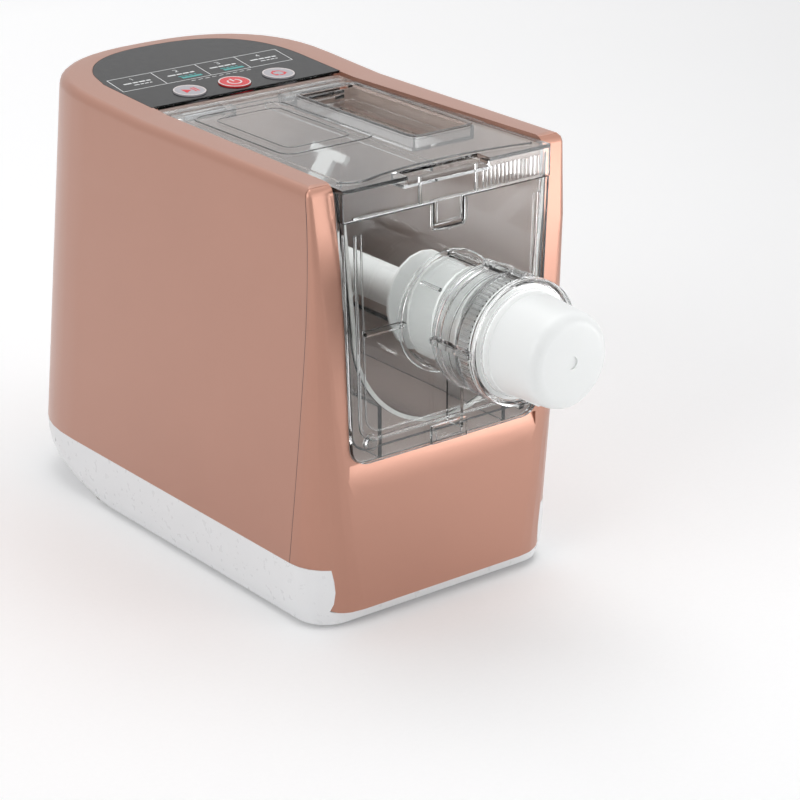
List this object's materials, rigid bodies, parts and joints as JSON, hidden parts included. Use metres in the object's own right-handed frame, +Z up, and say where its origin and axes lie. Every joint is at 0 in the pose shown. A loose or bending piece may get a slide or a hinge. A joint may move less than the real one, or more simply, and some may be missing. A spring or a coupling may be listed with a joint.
{
  "type": "electric pasta maker",
  "caption": "Countertop pasta maker: metallic housing, clear pull-out mixing bowl with hinged lid, paddle and auger, barrel with lock ring and die head, sloped panel with push buttons.",
  "frame": {"origin": "on the floor under the middle of the machine, from the die head to the back of the housing", "axes": "+X to the right as seen from the front, +Y to the back, +Z up; the dough comes out towards -Y"},
  "size_m": [0.2, 0.4966, 0.3016],
  "materials": {
    "copper_shell": "satin rose-gold metallic paint on moulded plastic",
    "white_base": "gloss white",
    "white_cap": "satin white",
    "clear": "clear polycarbonate",
    "panel_black": "gloss black",
    "button_grey": "satin grey",
    "button_red": "gloss red",
    "liner_grey": "matt grey",
    "seal_rubber": "silicone",
    "foot_rubber": "matt",
    "steel": "ground",
    "lamination": "stacked laminations",
    "gear_plastic": "moulded acetal",
    "bronze": "sintered bush",
    "board_green": "solder mask",
    "black_plastic": "matt",
    "aluminium": "drawn can"
  },
  "bodies": {
    "machine": {"front_fascia": "copper_shell", "outer_shell": "copper_shell", "rear_vent": "copper_shell", "base_tray": "white_base", "rubber_feet": "foot_rubber", "housing_screws": "steel", "cord_gland": "black_plastic", "bay_liner": "liner_grey", "control_panel": "panel_black", "control_board": "board_green", "button_switches": "black_plastic", "lid_switch": "black_plastic", "idler_pin": "steel", "gearbox_housing": "black_plastic", "front_bush": "bronze", "gearbox_cover": "black_plastic", "rear_bush": "bronze", "gearbox_screws": "steel", "motor_can": "steel", "motor_end_cap": "steel", "motor_cradle": "black_plastic", "power_board": "board_green", "motor_capacitor": "aluminium", "supply_transformer": "lamination"},
    "drive": {"output_gear": "gear_plastic", "drive_shaft": "steel"},
    "idler": {"idler_wheel": "gear_plastic", "idler_pinion": "steel"},
    "motor": {"motor_rotor": "lamination", "motor_pinion": "steel", "motor_fan": "black_plastic"},
    "bowl": {"mixing_bowl": "clear", "bowl_bush": "white_cap", "cover_seal": "seal_rubber", "hinge_pins": "steel"},
    "lid": {"lid": "clear"},
    "cover": {"front_cover": "clear"},
    "screw": {"auger": "white_cap", "mixing_paddle": "white_cap"},
    "head": {"die_head": "white_cap", "die_plate": "white_cap"},
    "ring": {"lock_ring": "clear"},
    "button_left": {"button_left": "button_grey"},
    "button_centre": {"button_centre": "button_red"},
    "button_right": {"button_right": "button_grey"}
  },
  "joints": [
    {"name": "motor_spin", "type": "hinge", "parent": "machine", "child": "motor", "pos_m": [0, 0.15272, 0.103], "axis": [0, 1, 0], "continuous": true},
    {"name": "idler_spin", "type": "hinge", "parent": "machine", "child": "idler", "pos_m": [0, 0.10272, 0.148], "axis": [0, 1, 0], "continuous": true},
    {"name": "drive_spin", "type": "hinge", "parent": "machine", "child": "drive", "pos_m": [0, 0.09773, 0.199], "axis": [0, 1, 0], "continuous": true},
    {"name": "bowl_slide", "type": "slide", "parent": "machine", "child": "bowl", "axis": [0, -1, 0], "range_m": [0, 0.22]},
    {"name": "auger_spin", "type": "hinge", "parent": "bowl", "child": "screw", "pos_m": [0, -0.06227, 0.199], "axis": [0, 1, 0], "continuous": true},
    {"name": "lid_hinge", "type": "hinge", "parent": "bowl", "child": "lid", "pos_m": [0, 0.07122, 0.2845], "axis": [-1, 0, 0], "range_deg": [0, 80]},
    {"name": "cover_slide", "type": "slide", "parent": "bowl", "child": "cover", "axis": [0, -1, 0], "range_m": [0, 0.085]},
    {"name": "head_slide", "type": "slide", "parent": "cover", "child": "head", "axis": [0, -1, 0], "range_m": [0, 0.05]},
    {"name": "ring_turn", "type": "hinge", "parent": "head", "child": "ring", "pos_m": [0, -0.18227, 0.199], "axis": [0, 1, 0], "range_deg": [0, 120]},
    {"name": "button_left_press", "type": "slide", "parent": "machine", "child": "button_left", "axis": [0, 0, -1], "range_m": [0, 0.0008], "stiffness_N_per_m": 800, "springref_m": -0.0005},
    {"name": "button_centre_press", "type": "slide", "parent": "machine", "child": "button_centre", "axis": [0, 0, -1], "range_m": [0, 0.0008], "stiffness_N_per_m": 800, "springref_m": -0.0005},
    {"name": "button_right_press", "type": "slide", "parent": "machine", "child": "button_right", "axis": [0, 0, -1], "range_m": [0, 0.0008], "stiffness_N_per_m": 800, "springref_m": -0.0005}
  ],
  "couplings": [
    {"joint": "idler_spin", "follows": "motor_spin", "ratio": -0.2},
    {"joint": "drive_spin", "follows": "motor_spin", "ratio": 0.051852},
    {"joint": "auger_spin", "follows": "motor_spin", "ratio": 0.051852}
  ]
}
